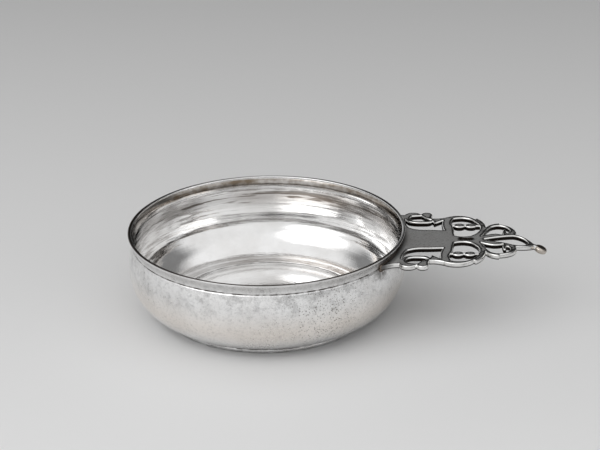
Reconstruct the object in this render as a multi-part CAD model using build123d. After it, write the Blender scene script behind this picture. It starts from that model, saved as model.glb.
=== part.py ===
from build123d import *
from math import acos, asin, cos, degrees, radians, sin, sqrt
import os

# A porringer: a raised bowl on a low foot ring, with one pierced handle soldered to its neck.
# Millimetres. The bowl's axis is Z, the table is z = 0 and the handle points along +X.

# Bowl, raised from one disc of sheet
HEIGHT = 42.4          # table to the top of the rim
RIM_RADIUS = 67.0      # outside of the rim
RIM_EDGE = 1.6         # rim, thickened by hammering it on edge
RIM_BEVEL = 0.4        # taken off both corners of the rim
SHEET = 0.85           # wall everywhere else
LIP_DEPTH = 5.6        # rim down to the crease of the neck
LIP_HOLLOW = 0.35      # how far the flared lip curves in between crease and rim
LIP_FLARE = 1.7        # the crease lies this far inside the rim
BELLY_SWELL = 1.7      # the widest part of the side stands out this far past the crease
BELLY_Z = 24.0         # height of the widest part
SIDE_RUN = 16.6        # the side comes in this far from the widest part to the foot
FLOOR_INSET = 3.4      # the floor's edge, lowest line of the bowl, lies this far inside the foot
FLOOR_Z = 1.4          # height of that edge above the table
DOME_RISE = 5.5        # the floor's middle above its edge

# Foot ring, one length of half-round wire
FOOT_WIDTH = 2.2       # its seat under the bowl
FOOT_HEIGHT = 2.4
FOOT_SWELL = 0.8       # its outer side stands out this far past the seat
FOOT_BEVEL = 0.4       # taken off the inner edge it stands on

# Handle, one casting
HANDLE_REACH = 66.5    # neck to the middle of the knob
HANDLE_HALF = 32.1     # half its width over the paired lobes
HANDLE_DROP = 4.3      # top of the handle below the rim, where it meets the bowl
HANDLE_THICK = 2.5
HANDLE_SLOPE = 1.25    # degrees it climbs away from the bowl
BEND_AT = 0.702        # share of the reach at which the tip starts to bend down
BEND_RADIUS = 50.0
BEND_END = 60.0        # degrees up the bend's circle, past the knob
BAR_WIDTH = 1.2        # bar across each round piercing
LOBE_LENGTH = 5.3      # each of the two lobes on that bar
LOBE_WIDTH = 4.0
SLOT_LENGTH = 6.2
SLOT_WIDTH = 1.5
KNOB_RADIUS = 3.15
KNOB_THICK = 3.1
KNOB_BEVEL = 0.9

# Solder along the handle's root
SOLDER_OUT = 1.2       # how far it spreads from the neck over the handle
SOLDER_PAST = 0.5      # how far it runs on along the neck past the handle's corners
SOLDER_SINK = 1.0      # its section starts this far inside the bowl and is cut back to the wall

NECK_Z = HEIGHT - LIP_DEPTH
NECK_RADIUS = RIM_RADIUS - LIP_FLARE
BELLY_RADIUS = NECK_RADIUS + BELLY_SWELL
FOOT_RADIUS = BELLY_RADIUS - SIDE_RUN
FLOOR_RADIUS = FOOT_RADIUS - FLOOR_INSET
ROOT_TOP = HEIGHT - HANDLE_DROP
BEND_START = NECK_RADIUS + BEND_AT * HANDLE_REACH
KNOB_X = NECK_RADIUS + HANDLE_REACH


def revolved(outline, angle=360.0):
    """Turn an outline of (radius, height) edges about the bowl's axis."""
    return revolve(Plane.XZ * make_face(outline), Axis.Z, angle)


def on_circle(centre, radius, degrees_up):
    """Point of a circle, its angle counted up from the horizontal."""
    turn = radians(degrees_up)
    return (centre[0] + radius * cos(turn), centre[1] + radius * sin(turn))


def arc_between(centre, radius, start, end):
    """Arc of a circle about a centre between two of its points, the short way over their middle."""
    middle = ((start[0] + end[0]) / 2 - centre[0], (start[1] + end[1]) / 2 - centre[1])
    reach = radius / sqrt(middle[0] ** 2 + middle[1] ** 2)
    return ThreePointArc(start, (centre[0] + middle[0] * reach, centre[1] + middle[1] * reach), end)


# The lower side is an arc from the foot to the belly, the upper side a flatter one from the belly to the neck.
foot_down = BELLY_Z - FOOT_HEIGHT
LOW_RADIUS = (SIDE_RUN ** 2 + foot_down ** 2) / (2 * SIDE_RUN)
LOW_CENTRE = (BELLY_RADIUS - LOW_RADIUS, BELLY_Z)
neck_up = NECK_Z - BELLY_Z
HIGH_RADIUS = (BELLY_SWELL ** 2 + neck_up ** 2) / (2 * BELLY_SWELL)
HIGH_CENTRE = (BELLY_RADIUS - HIGH_RADIUS, BELLY_Z)
SEAT_RADIUS = FOOT_RADIUS - FOOT_WIDTH
SEAT_Z = FLOOR_Z + (FOOT_HEIGHT - FLOOR_Z) * (SEAT_RADIUS - FLOOR_RADIUS) / (FOOT_RADIUS - FLOOR_RADIUS)
DOME_RADIUS = (FLOOR_RADIUS ** 2 + DOME_RISE ** 2) / (2 * DOME_RISE)
DOME_CENTRE = (0.0, FLOOR_Z + DOME_RISE - DOME_RADIUS)


def bowl_side(inset):
    """Edges of the bowl's side from the floor's edge to the rim, a wall's thickness inside the outer face."""
    low = LOW_RADIUS - inset
    high = HIGH_RADIUS - inset
    floor_z = FOOT_HEIGHT + inset
    floor_edge = (LOW_CENTRE[0] + sqrt(low ** 2 - (BELLY_Z - floor_z) ** 2), floor_z)
    belly = (BELLY_RADIUS - inset, BELLY_Z)
    neck = (HIGH_CENTRE[0] + sqrt(high ** 2 - neck_up ** 2), NECK_Z)
    thick = RIM_EDGE if inset else 0.0
    rim = (RIM_RADIUS - thick, HEIGHT - RIM_BEVEL)
    lip = ((neck[0] + rim[0]) / 2 - LIP_HOLLOW, (neck[1] + rim[1]) / 2)
    edges = [
        arc_between(LOW_CENTRE, low, floor_edge, belly),
        arc_between(HIGH_CENTRE, high, belly, neck),
        Spline(neck, lip, rim),
    ]
    return floor_edge, rim, edges


outer_floor, outer_rim, outer_edges = bowl_side(0.0)
inner_floor, inner_rim, inner_edges = bowl_side(SHEET)
outer_top = (outer_rim[0] - RIM_BEVEL, HEIGHT)
inner_top = (inner_rim[0] + RIM_BEVEL, HEIGHT)
dome_edge = (FLOOR_RADIUS, FLOOR_Z)
dome_low = (0.0, FLOOR_Z + DOME_RISE)
dome_high = (0.0, dome_low[1] + SHEET)
dome_turn = sqrt((DOME_RADIUS + SHEET) ** 2 - (FLOOR_Z + SHEET - DOME_CENTRE[1]) ** 2)
dome_inner_edge = (dome_turn, FLOOR_Z + SHEET)

bowl = revolved([
    arc_between(DOME_CENTRE, DOME_RADIUS, dome_low, dome_edge),
    Line(dome_edge, outer_floor),
    *outer_edges,
    Polyline(outer_rim, outer_top, inner_top, inner_rim),
    *inner_edges,
    Line(inner_floor, dome_inner_edge),
    arc_between(DOME_CENTRE, DOME_RADIUS + SHEET, dome_inner_edge, dome_high),
    Line(dome_high, dome_low),
])
bowl.label = "bowl"

# The bowl with nothing taken out of it, for fitting the handle and its solder against the outer face.
bowl_filled = revolved([
    Line((0.0, FOOT_HEIGHT), outer_floor),
    *outer_edges,
    Line(outer_rim, (0.0, outer_rim[1])),
    Line((0.0, outer_rim[1]), (0.0, FOOT_HEIGHT)),
])

# Foot ring: its top fits the bowl's underside, its outer side is the wire's half round in three flats.
foot_swell = FOOT_RADIUS + FOOT_SWELL
foot_ring = revolved([Polyline(
    (SEAT_RADIUS, SEAT_Z),
    (FOOT_RADIUS, FOOT_HEIGHT),
    (foot_swell, FOOT_HEIGHT - FOOT_SWELL),
    (foot_swell, FOOT_SWELL),
    (FOOT_RADIUS, 0.0),
    (SEAT_RADIUS + FOOT_BEVEL, 0.0),
    (SEAT_RADIUS, FOOT_BEVEL),
    close=True,
)])
foot_ring.label = "foot_ring"


def both_sides(half):
    """A face and its mirror image across the handle's long axis."""
    return half + mirror(half, Plane.XZ)


def spot(along, across):
    """Point of the handle's plan, in hundredths of its reach from the neck and of its half width."""
    return (NECK_RADIUS + HANDLE_REACH * along / 100, HANDLE_HALF * across / 100)


# Handle, seen from above. Only the +Y half is drawn. It starts inside the bowl and is cut back to the wall.
root_turn = asin(HANDLE_HALF / NECK_RADIUS)
inside_axis = spot(-23.0, 0.0)
inside_corner = spot(-23.0, 100.0)
wall_corner = (NECK_RADIUS * cos(root_turn), HANDLE_HALF)
root_corner = spot(-7.2, 94.7)
root_hollow = spot(0.2, 91.0)
lobes_meet = spot(12.5, 93.1)
lobe_end = spot(20.8, 90.3)
waist = spot(21.2, 77.3)
ring_start = spot(31.4, 81.9)
ring_end = spot(52.5, 75.1)
barb = spot(54.0, 77.6)
leaf_start = spot(60.5, 44.2)
leaf_tip = spot(69.8, 58.9)
leaf_notch = spot(70.7, 55.1)
leaf_end = spot(82.6, 29.3)
loop_start = spot(82.0, 22.1)
loop_end = spot(94.9, 3.1)
outline = make_face([
    Line(inside_axis, inside_corner),
    Line(inside_corner, wall_corner),
    Line(wall_corner, root_corner),
    ThreePointArc(root_corner, spot(-3.5, 91.6), root_hollow),
    ThreePointArc(root_hollow, spot(6.5, 100.0), lobes_meet),
    ThreePointArc(lobes_meet, spot(17.1, 100.0), lobe_end),
    ThreePointArc(lobe_end, spot(20.5, 83.5), waist),
    ThreePointArc(waist, spot(26.2, 77.9), ring_start),
    ThreePointArc(ring_start, spot(41.2, 88.2), ring_end),
    Line(ring_end, barb),
    ThreePointArc(barb, spot(58.6, 63.2), leaf_start),
    ThreePointArc(leaf_start, spot(63.9, 53.9), leaf_tip),
    Line(leaf_tip, leaf_notch),
    ThreePointArc(leaf_notch, spot(78.5, 46.7), leaf_end),
    Line(leaf_end, loop_start),
    ThreePointArc(loop_start, spot(88.7, 15.6), loop_end),
    Line(loop_end, (KNOB_X, loop_end[1])),
    Line((KNOB_X, loop_end[1]), (KNOB_X, 0.0)),
    Line((KNOB_X, 0.0), inside_axis),
])

# Long piercing beside the plain plate, with a pointed tooth at its outer corner.
plate_corner = spot(30.5, 32.1)
plate_tip = spot(1.4, 73.5)
scroll_notch = spot(21.5, 68.2)
tooth_point = spot(22.6, 58.9)
tooth_root = spot(29.0, 71.0)
long_piercing = make_face([
    Spline(plate_corner, spot(20.6, 33.6), spot(10.8, 35.2), spot(5.0, 41.7), spot(2.4, 54.5), plate_tip),
    Spline(plate_tip, spot(4.1, 65.1), spot(9.3, 61.7), spot(14.6, 61.4), spot(19.4, 63.2), scroll_notch),
    Line(scroll_notch, tooth_point),
    Line(tooth_point, tooth_root),
    ThreePointArc(tooth_root, spot(28.6, 51.4), plate_corner),
])

# Kidney piercing under the paired lobes.
kidney_tip = spot(20.6, 72.9)
kidney_top = spot(5.9, 87.2)
kidney_cusp = spot(12.6, 89.4)
kidney_piercing = make_face([
    Spline(kidney_tip, spot(18.0, 68.5), spot(13.1, 66.7), spot(8.3, 67.6), spot(5.3, 72.6), spot(4.4, 79.8),
           kidney_top),
    ThreePointArc(kidney_top, spot(9.3, 88.5), kidney_cusp),
    Spline(kidney_cusp, spot(14.3, 84.7), spot(16.7, 78.5), kidney_tip),
])

# Round piercing, crossed by a bar with two lobes.
round_foot = spot(38.0, 13.1)
round_head = spot(36.5, 77.3)
round_far = spot(52.5, 66.4)
round_near = spot(50.1, 13.1)
round_piercing = make_face([
    Spline(round_foot, spot(37.3, 28.0), spot(36.8, 43.6), spot(35.0, 60.7), round_head),
    ThreePointArc(round_head, spot(43.6, 80.4), round_far),
    ThreePointArc(round_far, spot(56.2, 38.3), round_near),
    ThreePointArc(round_near, spot(43.9, 9.3), round_foot),
])
for lobe in (spot(41.1, 52.0), spot(49.5, 52.0)):
    round_piercing -= Pos(*lobe) * Rectangle(HANDLE_HALF, BAR_WIDTH)
    round_piercing -= Pos(*lobe) * Ellipse(LOBE_LENGTH / 2, LOBE_WIDTH / 2)

# Piercing inside each curled leaf. The leaf's end hooks back into it.
leaf_root = spot(57.0, 10.9)
eye = spot(76.8, 24.9)
hook_in = spot(74.9, 26.8)
hook_top = spot(75.0, 34.3)
hook_out = spot(73.1, 34.3)
hook_root = spot(73.1, 16.2)
leaf_piercing = make_face([
    Spline(leaf_root, spot(59.5, 23.7), spot(61.8, 37.4), spot(65.1, 47.7), spot(69.0, 51.4), spot(73.5, 48.9),
           spot(77.0, 41.4), spot(78.0, 32.4), eye),
    ThreePointArc(eye, spot(75.6, 24.3), hook_in),
    Line(hook_in, hook_top),
    ThreePointArc(hook_top, spot(74.1, 36.4), hook_out),
    ThreePointArc(hook_out, spot(72.5, 24.9), hook_root),
    Spline(hook_root, spot(70.5, 19.0), spot(66.6, 20.2), spot(61.7, 17.1), leaf_root),
])

# Keyhole loop on the long axis: a narrow throat that opens into a round end.
throat = spot(60.3, 2.8)
loop_shoulder = spot(79.8, 16.5)
loop_tip = spot(91.1, 0.0)
loop_sides = [
    Spline(throat, spot(66.9, 7.8), spot(73.8, 12.1), loop_shoulder),
    ThreePointArc(loop_shoulder, spot(87.4, 12.5), loop_tip),
]
loop_piercing = make_face([
    ThreePointArc((throat[0], -throat[1]), spot(59.1, 0.0), throat),
    *loop_sides,
    *[mirror(side, Plane.XZ) for side in loop_sides],
])
slot = Pos(*spot(46.3, 0.0)) * RectangleRounded(SLOT_LENGTH, SLOT_WIDTH, SLOT_WIDTH * 0.3)

plan = both_sides(outline) - slot - loop_piercing
for piercing in (long_piercing, kidney_piercing, round_piercing, leaf_piercing):
    plan -= both_sides(piercing)

# Side view of the plate: a straight climb from the bowl, then one bend down to the knob.
climb = (cos(radians(HANDLE_SLOPE)), sin(radians(HANDLE_SLOPE)))
bend_z = ROOT_TOP + (BEND_START - NECK_RADIUS) * climb[1] / climb[0]
bend_centre = (BEND_START + BEND_RADIUS * climb[1], bend_z - BEND_RADIUS * climb[0])


def plate_line(depth):
    """Edges of the plate's long side at a depth below its top, and their two ends."""
    ring = BEND_RADIUS - depth
    bend = on_circle(bend_centre, ring, 90.0 + HANDLE_SLOPE)
    straight = bend[0] - inside_axis[0]
    start = (inside_axis[0], bend[1] - straight * climb[1] / climb[0])
    end = on_circle(bend_centre, ring, BEND_END)
    return start, end, [Line(start, bend), arc_between(bend_centre, ring, bend, end)]


top_start, top_end, top_edges = plate_line(0.0)
low_start, low_end, low_edges = plate_line(HANDLE_THICK)
plate_section = make_face([*top_edges, Line(top_end, low_end), *low_edges, Line(low_start, top_start)])
plate = extrude(Plane.XZ * plate_section, RIM_RADIUS, both=True)

# Knob: a round button with its edges taken off, tilted with the bend.
knob_ring = BEND_RADIUS - HANDLE_THICK / 2
knob_lean = degrees(acos((KNOB_X - bend_centre[0]) / knob_ring))
knob_centre = on_circle(bend_centre, knob_ring, knob_lean)
knob = Cylinder(KNOB_RADIUS, KNOB_THICK)
knob = chamfer(knob.edges().filter_by(GeomType.CIRCLE), KNOB_BEVEL)
knob = Pos(knob_centre[0], 0.0, knob_centre[1]) * Rot(0.0, 90.0 - knob_lean, 0.0) * knob

handle = extrude(plan, 2 * HEIGHT) & plate
handle = handle - bowl_filled + knob
handle.label = "handle"

# Solder: a fillet above and below the root, running together past the handle's two corners.
root_low = ROOT_TOP - HANDLE_THICK
solder_in = NECK_RADIUS - SOLDER_SINK
solder_climb = SOLDER_OUT + SOLDER_SINK
solder_section = Polyline(
    (solder_in, ROOT_TOP + solder_climb),
    (NECK_RADIUS + SOLDER_OUT, ROOT_TOP),
    (NECK_RADIUS + SOLDER_OUT, root_low),
    (solder_in, root_low - solder_climb),
    close=True,
)
solder_angle = degrees(root_turn + SOLDER_PAST / NECK_RADIUS)
solder_run = Rot(0.0, 0.0, -solder_angle) * revolved(solder_section, 2 * solder_angle)
handle_solder = solder_run - bowl_filled - handle
handle_solder.label = "handle_solder"

os.makedirs("parts", exist_ok=True)
for node in (bowl, foot_ring, handle, handle_solder):
    export_step(node, f"parts/{node.label}.step")
    box = node.bounding_box()
    print(node.label, len(node.solids()), round(node.volume), box.min, box.max)
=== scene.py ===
# %% [markdown]
# # A silver porringer
# A porringer is a small bowl for food, raised by hammer from one disc of silver. It stands on a low
# foot ring and is held by one flat, pierced handle that is soldered under its lip. The CAD model is
# loaded first. It gives every piece its place, and nothing here moves it.

from math import asin, atan2, cos, degrees, exp, hypot, pi, radians, sin, sqrt, tan
from types import SimpleNamespace

import bmesh
import bpy
import numpy as np
from mathutils import Matrix, Vector
from mathutils.geometry import delaunay_2d_cdt


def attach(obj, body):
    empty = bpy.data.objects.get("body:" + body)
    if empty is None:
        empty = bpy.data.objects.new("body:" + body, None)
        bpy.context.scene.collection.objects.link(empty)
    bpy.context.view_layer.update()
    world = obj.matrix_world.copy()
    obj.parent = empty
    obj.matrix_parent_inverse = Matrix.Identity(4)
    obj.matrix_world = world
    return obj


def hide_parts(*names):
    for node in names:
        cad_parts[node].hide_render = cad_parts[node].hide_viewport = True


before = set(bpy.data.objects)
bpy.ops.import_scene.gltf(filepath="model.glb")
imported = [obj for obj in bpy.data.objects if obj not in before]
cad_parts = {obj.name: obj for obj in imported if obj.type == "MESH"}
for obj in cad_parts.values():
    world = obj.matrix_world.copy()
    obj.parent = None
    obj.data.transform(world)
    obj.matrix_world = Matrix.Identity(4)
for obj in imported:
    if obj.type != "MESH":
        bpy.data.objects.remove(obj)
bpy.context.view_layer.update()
MM = 0.001


# %% [markdown]
# ## The sizes
# These are the sizes of the CAD model in millimetres. The bowl's side is two arcs that meet at its
# widest part, the lip is a shallow curve above a crease, and the floor is part of a large ball.

# %% Sizes of the porringer
HEIGHT, RIM_RADIUS, RIM_EDGE, SHEET = 42.4, 67.0, 1.6, 0.85
NECK_RADIUS, NECK_Z, LIP_HOLLOW = 65.3, 36.8, 0.35
BELLY_RADIUS, BELLY_Z = 67.0, 24.0
FOOT_RADIUS, FOOT_WIDTH, FOOT_HEIGHT, FOOT_SWELL = 50.4, 2.2, 2.4, 0.8
FLOOR_RADIUS, FLOOR_Z, DOME_RISE = 47.0, 1.4, 5.5
HANDLE_REACH, HANDLE_HALF, HANDLE_THICK = 66.5, 32.1, 2.5
ROOT_TOP = HEIGHT - 4.3
SLOPE = radians(1.25)
BEND_RADIUS, BEND_START = 50.0, NECK_RADIUS + 0.702 * HANDLE_REACH


def arc_radius(across, along):
    """Radius of a circle, upright at its widest point, that passes a point this far in and along."""
    return (across ** 2 + along ** 2) / (2 * across)


LOW_RADIUS = arc_radius(BELLY_RADIUS - FOOT_RADIUS, BELLY_Z - FOOT_HEIGHT)
HIGH_RADIUS = arc_radius(BELLY_RADIUS - NECK_RADIUS, NECK_Z - BELLY_Z)
DOME_RADIUS = arc_radius(DOME_RISE, FLOOR_RADIUS)
print("arcs in mm:", round(LOW_RADIUS, 2), round(HIGH_RADIUS, 2), round(DOME_RADIUS, 2))


# %% Adding objects
def add_object(name, data):
    """Add an object to the scene."""
    thing = bpy.data.objects.new(name, data)
    bpy.context.scene.collection.objects.link(thing)
    return thing


# %% [markdown]
# ## The camera
# The picture is taken with a long lens from above the front, with the handle pointing right and a
# little away. The place and the turn come from fitting the rim's ellipse, and the small roll is kept.

# %% Camera
LENS_MM, SENSOR_MM = 120.0, 36.0
CAMERA_PLACE = (0.10108, -0.88084, 0.42621)
SIDE_TURN, ROLL = radians(5.5), radians(0.823)
forward = Vector((-0.0880, 0.9138, -0.3966)).normalized()
level = Vector((cos(SIDE_TURN), sin(SIDE_TURN), 0.0))
level = (level - forward * level.dot(forward)).normalized()
upward = level.cross(forward)
camera_right = level * cos(ROLL) - upward * sin(ROLL)
camera_up = level * sin(ROLL) + upward * cos(ROLL)
camera_data = bpy.data.cameras.new("long_lens")
camera_data.lens = LENS_MM
camera_data.sensor_width = SENSOR_MM
camera_data.sensor_fit = "HORIZONTAL"
camera_data.clip_start, camera_data.clip_end = 0.05, 50.0
camera = add_object("camera", camera_data)
turn = Matrix((camera_right, camera_up, -forward)).transposed()
camera.matrix_world = Matrix.Translation(CAMERA_PLACE) @ turn.to_4x4()
bpy.context.scene.camera = camera
bpy.context.scene.view_settings.view_transform = "Standard"
print("camera looks down by", round(degrees(asin(-forward.z)), 2), "degrees")

# %% [markdown]
# ## Building node trees
# Geometry Nodes and materials are both trees of nodes. One helper adds a node, gives it its settings
# and links its inputs, so that each tree reads as a list of steps. Colours are written as in a paint
# program and turned into the linear values that the renderer counts in.


# %% Helpers for nodes and colours
def put(tree, kind, *inputs, **settings):
    """Add a node with its settings and links. Its inputs are given in order, or by name in a dict.

    An input is a plain value, a socket, or a node that gives its result. A kind without "Node" in it is
    short: "Math" stands for "ShaderNodeMath".
    """
    node = tree.nodes.new(kind if "Node" in kind else "ShaderNode" + kind)
    for name, value in settings.items():
        setattr(node, name, value)
    named = inputs[0] if inputs and isinstance(inputs[0], dict) else dict(enumerate(inputs))
    for key, value in named.items():
        if isinstance(value, bpy.types.Node):
            value = next(socket for socket in value.outputs if socket.enabled)
        if isinstance(value, bpy.types.NodeSocket):
            tree.links.new(value, node.inputs[key])
        else:
            node.inputs[key].default_value = value
    return node


def fresh_tree(owner):
    """The emptied node tree of a material, a world or a lamp."""
    owner.use_nodes = True
    owner.node_tree.nodes.clear()
    return owner.node_tree


def linear(code, alpha=1.0):
    """An sRGB hex colour as linear red, green, blue and alpha."""
    shares = [int(code[i:i + 2], 16) / 255 for i in (1, 3, 5)]
    return tuple(s / 12.92 if s <= 0.04045 else ((s + 0.055) / 1.055) ** 2.4 for s in shares) + (alpha,)


print("mid grey is", [round(c, 3) for c in linear("#808080")])

# %% [markdown]
# ## Raised silver
# The bowl was beaten up from a disc of sterling silver, planished with a flat-faced hammer and
# polished. Long use left it bright but soft: fine scratches, a few pits, and a brown-black film of
# silver sulphide where a cloth doesn't reach, in the crease under the lip and in the channel around
# the floor. The same dark colour paints shade just above the foot ring and by the handle's lower
# corners, and a painted dark reflection line on the rim. The mesh carries how far each point lies
# along the bowl's profile, so the film can follow the creases. The finish is built up in layers, as
# it came about: first the polish, then tarnish, then relief.

# %% Polish: clouds, grain and streaks
CLOUD, GRAIN = 18, 3  # mm across
STREAK_LONG, STREAK_WIDE, STREAK_RADIUS = 25, 1.6, 60  # mm, and where on the bowl they have that length


def polish_streaks(tree, spot_on, along):
    """Streaks of a polishing cloth that goes around the bowl."""
    around = put(tree, "VectorMath", spot_on, (1.0, 1.0, 0.0), operation="MULTIPLY")
    around = put(tree, "VectorMath", around, operation="NORMALIZE")
    around = put(tree, "VectorMath", {0: around, "Scale": STREAK_RADIUS / STREAK_LONG},
                 operation="SCALE")
    rise = put(tree, "Math", along, 1 / STREAK_WIDE, operation="MULTIPLY")
    rise = put(tree, "CombineXYZ", {"Z": rise})
    place = put(tree, "VectorMath", around, rise, operation="ADD")
    return put(tree, "TexNoise", {"Vector": place, "Scale": 1.0, "Detail": 3.0, "Roughness": 0.6})


def start_silver(name):
    """A new silver with the patterns that later layers read. Clouds of polish tint it a little."""
    material = bpy.data.materials.new(name)
    tree = fresh_tree(material)
    spot_on = put(tree, "TexCoord").outputs["Object"]
    along = put(tree, "Attribute", attribute_name="along").outputs["Fac"]
    clouds = put(tree, "TexNoise", {"Vector": spot_on, "Scale": 1 / (CLOUD * MM), "Detail": 5.0})
    grain = put(tree, "TexNoise", {"Vector": spot_on, "Scale": 1 / (GRAIN * MM), "Detail": 3.0})
    streaks = polish_streaks(tree, spot_on, along)
    cloudy = put(tree, "MapRange", clouds, 0.36, 0.66, 0.0, 1.0)
    colour = put(tree, "Mix", {"Factor": cloudy, 6: linear("#FBFBFB"), 7: linear("#ECEBEA")},
                 data_type="RGBA")
    return SimpleNamespace(material=material, tree=tree, spot_on=spot_on, along=along, clouds=clouds,
                           grain=grain, streaks=streaks, colour=colour, layers=[], kept=None, lined=None)


print("clouds of polish", CLOUD, "mm, streaks", STREAK_LONG, "by", STREAK_WIDE, "mm")


# %% Tarnish in bands
def away_from(silver, place):
    """How far a point lies from a place on the profile, in mm."""
    away = put(silver.tree, "Math", silver.along, place, operation="SUBTRACT")
    return put(silver.tree, "Math", away, operation="ABSOLUTE")


def film_at(silver, place, width, reach):
    """Strength of a band of film, also used for painted shade, near a place on the profile: its reach in
    the middle, 0 at its width in mm.
    """
    return put(silver.tree, "MapRange", away_from(silver, place), 0.0, width, reach, 0.0,
               interpolation_type="SMOOTHSTEP")


def keep_rim_bright(silver, place, width):
    """Fingers and cloths keep the rim bright: dull patches are weaker there and the metal smoother."""
    silver.kept = put(silver.tree, "MapRange", away_from(silver, place), width * 0.75, width, 0.3, 1.0)


# the darker colour is film in creases and also paints shade in some bands
TARNISH, FILM_AND_SHADE = "#8C8C8C", "#3C342E"
print("tarnish from", TARNISH, "to", FILM_AND_SHADE)

# %% Dull grey patches
PATCH, FLECK = 6, 1.3  # mm across


def add_dull_patches(silver, band=None, outside=None):
    """Patches, strongest in one band, and fine flecks up to where the polished inside starts."""
    tree = silver.tree
    patches = put(tree, "TexNoise", {"Vector": silver.spot_on, "Scale": 1 / (PATCH * MM), "Detail": 9.0,
                                     "Roughness": 0.76})
    patches = put(tree, "MapRange", patches, 0.47, 0.62, 0.0, 1.0)
    share = 0.3
    if band:
        share = put(tree, "Math", film_at(silver, *band), 0.04, operation="MAXIMUM")
    dulled = put(tree, "Math", patches, share, operation="MULTIPLY")
    flecks = put(tree, "TexNoise", {"Vector": silver.spot_on, "Scale": 1 / (FLECK * MM), "Detail": 4.0,
                                    "Roughness": 0.7})
    flecks = put(tree, "MapRange", flecks, 0.5, 0.68, 0.0, 0.3)
    if outside:
        outer = put(tree, "Math", silver.along, outside, operation="LESS_THAN")
        flecks = put(tree, "Math", flecks, outer, operation="MULTIPLY")
    dulled = put(tree, "Math", dulled, flecks, operation="ADD")
    if silver.kept:
        dulled = put(tree, "Math", dulled, silver.kept, operation="MULTIPLY")
    silver.dulled = dulled
    silver.layers.append((dulled, TARNISH))


print("patches", PATCH, "mm, flecks", FLECK, "mm")

# %% Brown film on the lip
LIP_FILM = "#70614F"


def add_lip_film(silver, start, end):
    """A streaky brown film, wiped most at the front left, where a hand reaches in."""
    tree = silver.tree
    begins = put(tree, "MapRange", silver.along, start, start + 0.5, 0.0, 1.0)
    ends = put(tree, "MapRange", silver.along, end - 2.2, end - 0.8, 1.0, 0.0)
    warm = put(tree, "Math", begins, ends, operation="MULTIPLY")
    front = put(tree, "VectorMath", silver.spot_on, (0.6, 1.0, 0.0), operation="DOT_PRODUCT")
    wiped = put(tree, "MapRange", front, -40 * MM, 10 * MM, 0.25, 1.0)
    warm = put(tree, "Math", warm, wiped, operation="MULTIPLY")
    uneven = put(tree, "Math", silver.clouds, 0.5, silver.streaks, operation="MULTIPLY_ADD")
    uneven = put(tree, "Math", silver.grain, 0.7, uneven, operation="MULTIPLY_ADD")
    uneven = put(tree, "MapRange", uneven, 0.85, 1.3, 0.5, 0.95)
    warm = put(tree, "Math", warm, uneven, operation="MULTIPLY")
    silver.layers.append((warm, LIP_FILM))


print("film on the lip is", LIP_FILM)

# %% Dark streaks from raising
STREAK_VEIL, STREAK_DARK = "#8E847B", "#5C534B"


def add_raising_streaks(silver, place, width, reach):
    """Thin dark streaks over a brown veil on one band of the wall, both weaker on the left."""
    tree = silver.tree
    side = put(tree, "SeparateXYZ", silver.spot_on).outputs["X"]
    unwiped = put(tree, "MapRange", side, -45 * MM, 5 * MM, 0.0, 1.0)
    streaky = put(tree, "Math", unwiped, 0.07, silver.streaks, operation="MULTIPLY_ADD")
    streaky = put(tree, "MapRange", streaky, 0.57, 0.63, 0.0, 1.0)
    silver.lined = film_at(silver, place, width, reach)
    brown = put(tree, "Math", silver.lined, unwiped, operation="MULTIPLY")
    brown = put(tree, "Math", brown, silver.clouds, operation="MULTIPLY")
    streaky = put(tree, "Math", streaky, silver.lined, operation="MULTIPLY")
    silver.layers += [(brown, STREAK_VEIL), (streaky, STREAK_DARK)]


print("streaks are", STREAK_DARK, "over", STREAK_VEIL)


# %% Film in the creases, painted shade and a painted dark line on the rim
def add_film(silver, bands, solder_and_shade_spots=(), rim=None):
    """Dark film, broken: film in creases and solder film near spots by a joint, painted shade in other
    bands and at those spots, and a painted dark reflection line on the rim.
    """
    tree = silver.tree
    film = film_at(silver, *bands[0])
    for band in bands[1:]:
        film = put(tree, "Math", film, film_at(silver, *band), operation="MAXIMUM")
    # solder film and painted shade around spots by a joint
    for place in solder_and_shade_spots:
        away = put(tree, "VectorMath", silver.spot_on, tuple(c * MM for c in place),
                   operation="DISTANCE")
        solder_and_shade = put(tree, "MapRange", away, 1.5 * MM, 6 * MM, 0.8, 0.0)
        film = put(tree, "Math", film, solder_and_shade, operation="MAXIMUM")
    broken = put(tree, "MapRange", silver.grain, 0.34, 0.58, 0.25, 1.0)
    film = put(tree, "Math", film, broken, operation="MULTIPLY")
    if rim:
        # a painted dark reflection on the rim's top: full at the front and left, almost gone on the
        # other side
        front = put(tree, "VectorMath", silver.spot_on, (0.35, 1.0, 0.0), operation="DOT_PRODUCT")
        painted_reflection_front = put(tree, "MapRange", front, -25 * MM, 15 * MM, 1.0, 0.04)
        line = put(tree, "Math", film_at(silver, *rim), painted_reflection_front, operation="MULTIPLY")
        film = put(tree, "Math", film, line, operation="MAXIMUM")
        film = put(tree, "Math", film, 1.0, operation="MINIMUM")
    silver.film = film
    silver.layers.append((film, FILM_AND_SHADE))


print("film in the creases is", FILM_AND_SHADE)

# %% Relief: scratches, hammer blows and pits
# all in mm. The scratches are drawn three times as coarse as they are, so that they show
SCRATCH, BLOW, PIT, RELIEF_DEPTH = 0.7, 3.5, 1.0, 0.07
PIT_TONE = "#7B746D"


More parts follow.
